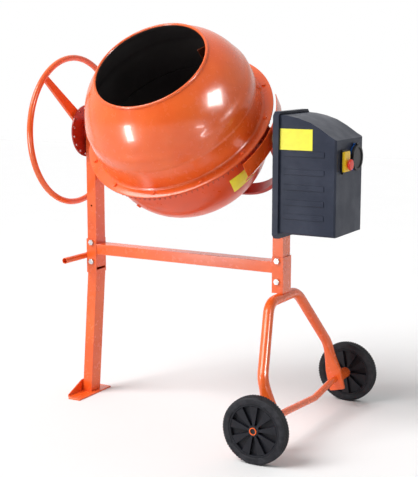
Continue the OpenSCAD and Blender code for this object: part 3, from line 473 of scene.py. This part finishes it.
def grown(name, tree, base, **inputs):
    """A base object with a geometry tree's inputs set, worked into a plain mesh."""
    made = base if base else new_object(name, bpy.data.meshes.new(name))
    made.name = name
    grow = made.modifiers.new("grow", "NODES")
    grow.node_group = trees[tree]
    ids = {s.name: s.identifier for s in trees[tree].interface.items_tree if s.item_type == "SOCKET"}
    for label, value in inputs.items():
        grow[ids[label.replace("_", " ")]] = value
    made.update_tag()
    bpy.context.view_layer.update()
    return evaluated(made)


def ring_of(name, item_mesh, count, radius, phase, slot):
    item = new_object(name + "_item", item_mesh)
    mesh = grown(name, "ring", None, Item=item, Count=count, Radius=radius * MM, Phase=radians(phase),
                 Finish=finish[slot])
    bpy.data.objects.remove(item)
    return mesh


def weld(name, lines, width=2.2):
    """Weld beads along lines of points in millimetres."""
    curve = bpy.data.curves.new(name, "CURVE")
    curve.dimensions = "3D"
    for line in lines:
        spline = curve.splines.new("POLY")
        spline.points.add(len(line) - 1)
        for point, place in zip(spline.points, line):
            point.co = (*(Vector(place) * MM), 1)
    mesh = grown(name, "bead", new_object(name, curve), Width=width * MM, Ripple=1.6, Finish=finish["orange_paint"])
    return shaded(mesh, 60)


# ---------- places ----------
def span(node):
    low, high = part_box(node)
    return [v / MM for v in low], [v / MM for v in high]


axis = joint["drum_spin"]["axis"]
tilt = atan2(-axis[1], axis[2])
drum_at = Matrix.Translation(Vector(joint["drum_spin"]["pos_m"])) @ Matrix.Rotation(tilt, 4, "X")
drum_r, mouth_r, mouth_h = 274.0, 176.0, 303.0
flange_h, flange_r, sheet = 48.2, 308.5, 3.0
bolt_r, bolt_phase, bolt_n = 290.8, 37.2, 12


# ---------- drum ----------
def hex_bolt(name, flat_d, height, washer_d, washer_t):
    """Hexagon head with a chamfered crown, standing on its washer."""
    r = flat_d / 2 / cos(pi / 6)
    rows = [(washer_t, r, r), (height * 0.78 + washer_t, r, r), (height + washer_t, r * 0.86, r * 0.86)]
    points, faces = [], []
    for z, a, _ in rows:
        points += [(a * cos(pi * k / 3), a * sin(pi * k / 3), z) for k in range(6)]
    for j in range(2):
        faces += [[j * 6 + k, j * 6 + (k + 1) % 6, (j + 1) * 6 + (k + 1) % 6, (j + 1) * 6 + k] for k in range(6)]
    faces += [list(range(5, -1, -1)), [12 + k for k in range(6)]]
    head = rounded(solid(name, points, faces), 0.5, 2)
    w = washer_d / 2
    ring = rounded(lathe(name + "_washer", [(0, 0), (w, 0), (w, washer_t), (0, washer_t)], 32), 0.3, 2)
    return joined(name, [head, ring])


def upper_drum():
    """Pressed upper shell: flat flange, beaded band, dome and rolled mouth."""
    r, f, m, top = drum_r, flange_h, mouth_r, mouth_h
    skirt = [(flange_r - 1.2, f), (flange_r, f + 0.8), (flange_r, f + 2.2), (flange_r - 1.0, f + sheet),
             (r + 10, f + sheet)] + arc(r + 9, f + 11, 8, 270, 180, 6)[1:]
    band = [(r + 1.0, f + 14), (r + 1.2, f + 72), (r + 1.8, f + 74), (r + 1.8, f + 77), (r + 0.2, f + 79.5),
            (r + 0.1, f + 83), (r, f + 104)]
    dome = smooth_line([(r, f + 104), (r - 1.5, f + 116), (r - 5, f + 127), (r - 11, f + 140), (r - 19, f + 160),
                        (r - 30, f + 182), (r - 43, f + 202), (r - 59, f + 221), (m + 19, top - 15),
                        (m + 8.5, top - 6)], 4)
    roll = arc(m + 4.6, top - 3.4, 4.6, -20, 190, 12)
    shell = skirt + band + dome[1:] + roll
    inner = [(m + 3, top - 9), (m + 15, top - 19)] + [(x - 3 * 0.8, z - 3 * 0.6) for x, z in reversed(dome[3:-3])]
    inner += [(r - 3, f + 100), (r - 3, f + 6), (r - 3, f)]
    outline = shell + inner
    first = len(shell) - 2
    mesh = lathe("drum_upper_shell", outline, 224, set(range(first, len(outline) - 1)))
    moved(shaded(mesh, 40), drum_at)
    piece("drum_upper_shell", mesh, "drum", ["upper_drum"], "orange_paint",
          [finish["orange_paint"], drum_inside])


def lower_bowl():
    """Spun lower bowl with its flange ring, dark inside."""
    f, floor = flange_h, -208.0
    low = [(118, floor - sheet), (140, -206), (159, -199), (180, -186), (203, -168), (224, -145), (240, -120),
           (252, -95), (260, -68), (265, -38), (267.5, -5), (268, 30)]
    curve = smooth_line(low, 4)
    brim = [(268, f - 9)] + arc(274, f - 9, 6, 180, 90, 5)[1:] + [(flange_r - 1, f - sheet), (flange_r, f - 2.2),
            (flange_r, f - 0.8), (flange_r - 1, f - 0.02)]
    shell = [(0, floor - sheet)] + curve + brim
    inner = [(265, f - 0.02), (265, 30)] + [(x - 2.6 if z > -150 else x - 1.8, z + (0.4 if z > -95 else 2.4))
                                           for x, z in reversed(curve[:-1])]
    inner += [(0, floor)]
    first = len(shell)
    outline = shell + inner
    mesh = lathe("drum_lower_bowl", outline, 224, set(range(first - 1, len(outline) - 1)))
    moved(shaded(mesh, 40), drum_at)
    # the bowl's outside takes the painted shade: a darker orange standing in for the shade under the drum
    piece("drum_lower_bowl", mesh, "drum", ["lower_bowl"], "orange_paint", [bowl_paint, drum_inside])


def bowl_radius(h):
    rows = [(-120, 240), (-95, 252), (-68, 260), (-38, 265), (-5, 267.5), (40, 268)]
    for (h0, r0), (h1, r1) in zip(rows, rows[1:]):
        if h <= h1:
            return r0 + (r1 - r0) * (h - h0) / (h1 - h0)
    return rows[-1][1]


def bowl_sticker():
    """Plain yellow label lying on the bowl, with rounded corners."""
    corners = [(-27, -36.5), (-31, -22), (-88, -13.5), (-89, -36)]
    n = 14
    grid = {}
    points, faces = [], []
    for skin, lift in enumerate((0.5, 0.0)):
        for i in range(n + 1):
            for j in range(n + 1):
                u, v = i / n, j / n
                top = [a + (b - a) * u for a, b in zip(corners[0], corners[1])]
                low = [a + (b - a) * u for a, b in zip(corners[3], corners[2])]
                h, phi = [a + (b - a) * v for a, b in zip(top, low)]
                r = bowl_radius(h) + 0.1 + lift
                grid[skin, i, j] = len(points)
                points.append((r * cos(radians(phi)), r * sin(radians(phi)), h))
    for i in range(n):
        for j in range(n):
            a = [grid[0, i, j], grid[0, i + 1, j], grid[0, i + 1, j + 1], grid[0, i, j + 1]]
            b = [grid[1, i, j + 1], grid[1, i + 1, j + 1], grid[1, i + 1, j], grid[1, i, j]]
            faces += [a, b]
    rim = [(i, 0) for i in range(n)] + [(n, j) for j in range(n)] + [(n - i, n) for i in range(n)]
    rim += [(0, n - j) for j in range(n)]
    for (i, j), (k, m) in zip(rim, rim[1:] + rim[:1]):
        faces.append([grid[0, i, j], grid[1, i, j], grid[1, k, m], grid[0, k, m]])
    mesh = moved(shaded(solid("bowl_label", points, faces), 50), drum_at)
    # the label takes the brighter painted-light copy of the plate yellow
    piece("bowl_label", mesh, "drum", (), "plate_yellow", [label_film])


def ring_gear():
    """Cast ring gear under the flange: a plain ring with its teeth facing down."""
    low, high = 37.6, flange_h - sheet
    ring = lathe("ring", [(272.4, low), (300.6, low), (300.6, high - 1), (299.6, high), (273.4, high),
                          (272.4, high - 1)], 216)
    w = 2 * 286 * pi / 108 * 0.5
    root, tip = low + 0.4, 27.2
    half, top = w * 0.42, w * 0.2
    points = []
    for x in (-13.0, 13.0):
        points += [(x, -half, root), (x, -top * 1.5, (root + tip) / 2), (x, -top, tip + 0.6), (x, -top * 0.7, tip),
                   (x, top * 0.7, tip), (x, top, tip + 0.6), (x, top * 1.5, (root + tip) / 2), (x, half, root)]
    faces = [[k, k + 1, 9 + k, 8 + k] for k in range(7)] + [[7, 0, 8, 15], list(range(8)), list(range(15, 7, -1))]
    teeth = ring_of("ring_teeth", solid("tooth", points, faces), 108, 286.5, 0, "gear_casting")
    mesh = joined("drum_ring_gear", [ring, teeth])
    shaded(mesh, 35)
    piece("drum_ring_gear", moved(mesh, drum_at), "drum", ["ring_gear"], "gear_casting")


def flange_bolts():
    bolt = moved(hex_bolt("flange_bolt", 12.0, 4.6, 16.0, 0.9), Matrix.Translation((0, 0, (flange_h + sheet) * MM)))
    mesh = ring_of("flange_bolt_ring", bolt, bolt_n, bolt_r, bolt_phase, "orange_paint")
    piece("flange_bolt_ring", moved(shaded(mesh, 50), drum_at), "drum", ["flange_bolts"], "orange_paint")


# ---------- frame ----------
def bent_leg(name, stations):
    """A tube whose section changes from round to flattened along its way. A station is (middle, half width
    across, half width in the bend's plane, direction in the Y-Z plane, squareness)."""
    points, faces = [], []
    n = 40
    for (y, z), across, deep, way, square in stations:
        normal = (-sin(way), cos(way))
        for k in range(n):
            a = 2 * pi * k / n
            c, s = cos(a), sin(a)
            power = 2.0 / square
            u = across * abs(c) ** power * (1 if c >= 0 else -1)
            v = deep * abs(s) ** power * (1 if s >= 0 else -1)
            points.append((u, y + normal[0] * v, z + normal[1] * v))
    rows = len(stations)
    for j in range(rows - 1):
        faces += [[j * n + k, j * n + (k + 1) % n, (j + 1) * n + (k + 1) % n, (j + 1) * n + k] for k in range(n)]
    faces += [list(range(n - 1, -1, -1)), [(rows - 1) * n + k for k in range(n)]]
    return solid(name, points, faces)


def wheel_frame():
    """One bent tube from wheel to wheel, its ends pressed flat for the axle."""
    wx = joint["near_wheel_spin"]["pos_m"][0] / MM
    wz = joint["near_wheel_spin"]["pos_m"][2] / MM
    top_z = span("right_sleeve")[0][2]
    post_x = (span("right_upper_post")[0][0] + span("right_upper_post")[1][0]) / 2
    lean = atan2(wx - post_x - 4, top_z - wz)
    d = 33.0
    apex = (top_z - wz) / cos(lean) - d / 2 + 0.5
    leg_y, big, small, slope = 237.0, 72.0, 60.0, radians(35.3)
    y1 = 59 + big * cos(slope)
    z1 = apex - big + big * sin(slope)
    y2 = leg_y - small + small * cos(slope)
    z3 = z1 - small * sin(slope) - (y2 - y1) / tan(slope)
    half = []
    for z in (-36.0, -35.2, -33.5, 0.0, 28.5, 30.0):
        half.append(((leg_y, z), 26.0 - max(0.0, -33.5 - z) * 0.8, 7.0, pi / 2, 7.0))
    for k in range(1, 9):
        t = k / 8
        e = t * (2 - t)
        z = 30.0 + (z3 - 30.0) * t
        half.append(((leg_y, z), 26.0 + (d / 2 - 26.0) * e, 7.0 + (d / 2 - 7.0) * e, pi / 2, 7.0 + (2.0 - 7.0) * e))
    for k in range(1, 9):
        a = slope * k / 8
        half.append(((leg_y - small + small * cos(a), z3 + small * sin(a)), d / 2, d / 2, pi / 2 + a, 2.0))
    for k in range(0, 13):
        a = slope + (pi / 2 - slope) * k / 12
        half.append(((59 + big * cos(a), apex - big + big * sin(a)), d / 2, d / 2, pi / 2 + a, 2.0))
    half.append(((0.0, apex), d / 2, d / 2, pi, 2.0))
    other = [((-y, z), a, b, 2 * pi - way + pi / 2 - pi / 2, s) for (y, z), a, b, way, s in reversed(half[:-1])]
    mesh = bent_leg("wheel_fork", half + other)
    mesh = rounded(shaded(mesh), 0.6, 1, 60)
    place = Matrix.Translation((wx * MM, 0, wz * MM)) @ Matrix.Rotation(-lean, 4, "Y")
    piece("wheel_fork", moved(mesh, place), "frame", ["wheel_frame"])


WHEEL_SPOKES, TREAD_BLOCKS = 9, 72
TREAD_ROWS = ((-13.6, 97.8, 3.4), (-8.0, 98.6, 4.4), (-2.7, 98.9, 4.4),
              (2.7, 98.9, 4.4), (8.0, 98.6, 4.4), (13.6, 97.8, 3.4))


def road_wheel(side):
    """A moulded rim with nine raised wedge spokes, a smooth sidewall and rows of small tread blocks."""
    body = side + "_wheel"
    centre = Vector(joint[body + "_spin"]["pos_m"])
    place = Matrix.Translation(centre) @ Matrix.Rotation(radians(90 if side == "near" else -90), 4, "X")
    half = [(11.6, 16.4), (15.6, 16.4), (16.8, 15.2), (17.2, 4.6), (72.4, 4.6), (73.0, 14.0), (74.0, 15.0),
            (77.8, 15.0)]
    dish = lathe("dish", half + [(x, -h) for x, h in reversed(half)], 144)
    face = [(16.4, -10.6), (73.2, -10.2), (73.2, 10.2), (16.4, 10.6)]
    edge = [(x * cos(radians(a)), x * sin(radians(a))) for x, a in face]
    points = [(x, y, z) for z in (4.0, 14.4, -14.4, -4.0) for x, y in edge]
    faces = []
    for k in (0, 8):
        faces += [[k + 3, k + 2, k + 1, k], [k + 4, k + 5, k + 6, k + 7]]
        faces += [[k + j, k + (j + 1) % 4, k + 4 + (j + 1) % 4, k + 4 + j] for j in range(4)]
    wedge = rounded(solid("wedge", points, faces), 0.7, 2)
    wedges = ring_of(side + "_spokes", wedge, WHEEL_SPOKES, 0.0, 90, "wheel_plastic")
    piece(side + "_rim", moved(shaded(joined(side + "_rim", [dish, wedges]), 35), place), body,
          [body + "_rim"], "wheel_plastic")
    wall = [(78.2, 14.6), (79.0, 16.2), (80.6, 16.6), (81.2, 16.0), (81.9, 16.7), (90.0, 17.0), (94.4, 16.6),
            (97.0, 15.2), (98.2, 13.0), (98.5, 10.0)]
    carcass = lathe("carcass", wall + [(x, -h) for x, h in reversed(wall)], 192)
    rows = [shaded(carcass, 40)]
    top, deep, long = 0.95, -1.2, 5.6
    for row, (h, radius, width) in enumerate(TREAD_ROWS):
        points = [(x, y * (0.82 if x > 0 else 1), h + z * (0.82 if x > 0 else 1))
                  for x in (deep, top) for y, z in ((-long / 2, -width / 2), (long / 2, -width / 2),
                                                    (long / 2, width / 2), (-long / 2, width / 2))]
        faces = [[3, 2, 1, 0], [4, 5, 6, 7]] + [[j, (j + 1) % 4, 4 + (j + 1) % 4, 4 + j] for j in range(4)]
        block = solid("block", points, faces)
        half_step = 180 / TREAD_BLOCKS
        rows.append(ring_of(side + "_tread", block, TREAD_BLOCKS, radius, half_step * (row % 2), "wheel_rubber"))
    mesh = joined(side + "_tyre", rows)
    piece(side + "_tyre", moved(shaded(mesh, 32), place), body, [body + "_tyre"], "wheel_rubber")
    plug = lathe(side + "_axle_plug", [(0, 15.2), (5.4, 15.2), (6.6, 15.8), (7.6, 15.8), (7.6, 17.0), (6.8, 17.0),
                                       (5.4, 16.2), (0, 16.2)], 48)
    piece(side + "_axle_plug", moved(shaded(plug, 40), place), "frame", (), "black_plastic")


def stop_knob():
    """Mushroom head with a rolled rim, on the stem that slides in the lid."""
    lo, hi = span("stop_button")
    back, face, tip = lo[0], span("switch_flap")[1][0] + 4.5, hi[0]
    r = (hi[1] - lo[1]) / 2
    rim = arc(r - 2.6, tip - 2.9, 2.6, 0, 78, 6) + [(r - 5, tip - 0.25), (0, tip)]
    outline = [(0, back), (7.4, back), (8, back + 0.6), (8, face), (r - 1.2, face), (r, face + 1.0)] + rim
    mesh = shaded(lathe("stop_knob", outline, 72), 40)
    centre = Vector((0, (lo[1] + hi[1]) / 2, (lo[2] + hi[2]) / 2)) * MM
    place = Matrix.Translation(centre) @ Matrix.Rotation(pi / 2, 4, "Y")
    piece("stop_knob", moved(mesh, place), "stop", ["stop_button"], "button_red")


def rounded_nodes():
    """Pieces whose shape is right already, with the edges that pressing, sawing or moulding leaves."""
    work = [
        ("left_post_tube", ["left_upper_post"], "frame", 2.6, 3),
        ("right_post_tube", ["right_upper_post"], "frame", 2.6, 3),
        ("left_leg_tube", ["left_leg"], "frame", 2.6, 3),
        ("cross_tube", ["cross_beam"], "frame", 2.6, 3),
        ("left_joint_sleeve", ["left_sleeve"], "frame", 1.3, 2),
        ("right_joint_sleeve", ["right_sleeve"], "frame", 1.3, 2),
        ("left_foot_plate", ["left_foot"], "frame", 0.9, 2),
        ("carry_handle", ["transport_handle"], "frame", 0.8, 2),
        ("cranked_axle", ["axle"], "frame", 0.6, 2),
        ("tilt_lock_disc", ["locking_disc"], "frame", 0.8, 2),
        ("frame_bolt_set", ["frame_bolts"], "frame", 0.7, 2),
        ("frame_nut_set", ["frame_nuts"], "frame", 0.6, 2),
        ("handwheel_rim", ["handwheel"], "handwheel_body", 0.9, 2),
        ("handwheel_cap_nut", ["handwheel_nut"], "yoke", 0.7, 2),
        ("yoke_band", ["yoke_arm"], "yoke", 1.2, 2),
        ("gear_guard", ["pinion_guard"], "yoke", 0.5, 2),
        ("blade_one", ["mixing_blade_a"], "drum", 0.6, 2),
        ("blade_two", ["mixing_blade_b"], "drum", 0.6, 2),
        ("blade_bolt_set", ["blade_bolts"], "drum", 0.6, 2),
        ("motor_cover", ["housing_cover"], "frame", 2.4, 4),
        ("motor_cover_rim", ["housing_base"], "frame", 2.2, 4),
        ("cover_plate", ["rating_plate"], "frame", 0.3, 2),
        ("switch_box", ["switch_base"], "frame", 0.8, 2),
        ("switch_lid", ["switch_flap"], "flap", 1.2, 3),
        ("start_knob", ["start_button"], "start", 0.7, 2),
        ("inlet_socket", ["inlet_body"], "frame", 0.8, 2),
        ("inlet_cap", ["inlet_lid"], "lid", 1.4, 3),
    ]
    for name, nodes, body, width, segments in work:
        mesh = rounded(cad_copy(name, nodes), width, segments)
        # the tilt band and its disc take the painted shade: a dark red standing in for the shade they lie in
        painted_shade_finish = [band_paint] if name in ("tilt_lock_disc", "yoke_band") else None
        piece(name, mesh, body, nodes, slot_of[nodes[0]], painted_shade_finish)


def frame_welds():
    """Weld beads where the cross tube meets the posts."""
    lo, hi = span("cross_beam")
    y0, y1, z0, z1 = lo[1], hi[1], lo[2], hi[2]
    loops = []
    for x in (lo[0], hi[0]):
        loops.append([(x, y0, z0), (x, y1, z0), (x, y1, z1), (x, y0, z1), (x, y0, z0)])
    piece("frame_weld_beads", weld("frame_weld_beads", loops), "frame")


upper_drum()
lower_bowl()
bowl_sticker()
ring_gear()
flange_bolts()
wheel_frame()
road_wheel("near")
road_wheel("far")
stop_knob()
rounded_nodes()
frame_welds()

for node, made in frame["nodes"].items():
    made.data.materials.clear()
    made.data.materials.append(finish[slot_of[node]])


# ---------- floor, light, camera ----------
def floor():
    mesh = solid("floor", [(-9000, -9000, 0), (9000, -9000, 0), (9000, 9000, 0), (-9000, 9000, 0)], [[0, 1, 2, 3]],
                 tidy=False)
    f = Finish("pale_floor", Roughness=0.9)
    made = new_object("floor", mesh)
    mesh.materials.append(f.wear(Base_Color=f.blend(f.noise(3.0), (0.86, 0.86, 0.86), (0.88, 0.88, 0.88))))


def softbox(name, place, aim, size, power, fills=True):
    """A rectangular lamp; one that doesn't fill lights reflections only."""
    data = bpy.data.lights.new(name, "AREA")
    data.shape = "RECTANGLE"
    data.size, data.size_y = size
    data.energy = power
    lamp = bpy.data.objects.new(name, data)
    lamp.location = place
    lamp.visible_diffuse = fills
    lamp.rotation_euler = (Vector(aim) - Vector(place)).to_track_quat("-Z", "Y").to_euler()
    bpy.context.scene.collection.objects.link(lamp)


def studio():
    """Pale surroundings, brighter behind the machine, a broad sun, one softbox and three highlight lamps."""
    bpy.context.scene.view_settings.view_transform = "Standard"
    world = bpy.data.worlds.new("studio")
    bpy.context.scene.world = world
    world.use_nodes = True
    nodes, links = world.node_tree.nodes, world.node_tree.links
    sky = nodes["Background"]
    way = nodes.new("ShaderNodeTexCoord")
    brighter_way, even_level, sun_from = (-0.30, 0.28, 0.05), 0.52, Vector((-0.55, -0.75, 1.0))
    lean = nodes.new("ShaderNodeVectorMath")
    lean.operation = "DOT_PRODUCT"
    lean.inputs[1].default_value = brighter_way
    links.new(way.outputs["Generated"], lean.inputs[0])
    level = nodes.new("ShaderNodeMath")
    level.operation = "ADD"
    level.inputs[1].default_value = even_level
    links.new(lean.outputs["Value"], level.inputs[0])
    path = nodes.new("ShaderNodeLightPath")
    seen = nodes.new("ShaderNodeMix")
    seen.data_type = "FLOAT"
    links.new(path.outputs["Is Camera Ray"], seen.inputs["Factor"])
    links.new(level.outputs[0], seen.inputs["A"])
    seen.inputs["B"].default_value = 1.0
    links.new(seen.outputs[0], sky.inputs["Strength"])
    sky.inputs["Color"].default_value = (1.0, 1.0, 1.0, 1)
    data = bpy.data.lights.new("broad_sun", "SUN")
    data.energy = 2.55
    data.angle = radians(35)
    sun = bpy.data.objects.new("broad_sun", data)
    sun.rotation_euler = sun_from.to_track_quat("Z", "Y").to_euler()
    bpy.context.scene.collection.objects.link(sun)
    softbox("left_softbox", (-1.6, -2.6, 2.2), (0, 0, 0.9), (0.35, 1.2), 8)
    softbox("front_highlight", (-0.65, -1.33, 0.60), (-0.06, -0.34, 0.93), (0.22, 0.56), 12, False)
    softbox("side_highlight", (2.56, -0.45, 1.95), (0.15, -0.21, 1.03), (1.05, 0.95), 100, False)
    softbox("low_highlight", (2.4, -1.34, 0.33), (0.13, -0.25, 0.95), (0.5, 0.10), 5, False)


def camera():
    azimuth, pitch = radians(29.58), radians(9.35)
    back = Vector((sin(azimuth) * cos(pitch), -cos(azimuth) * cos(pitch), sin(pitch)))
    right = Vector((cos(azimuth), sin(azimuth), 0))
    up = back.cross(right)
    data = bpy.data.cameras.new("camera")
    data.lens = 83.01
    data.sensor_width = 36
    data.shift_x = 0.0085
    data.shift_y = -0.0022
    made = bpy.data.objects.new("camera", data)
    place = Matrix.Translation((1.71388, -3.01817, 1.14761))
    made.matrix_world = place @ Matrix((right, up, back)).transposed().to_4x4()
    bpy.context.scene.collection.objects.link(made)
    bpy.context.scene.camera = made


floor()
studio()
camera()
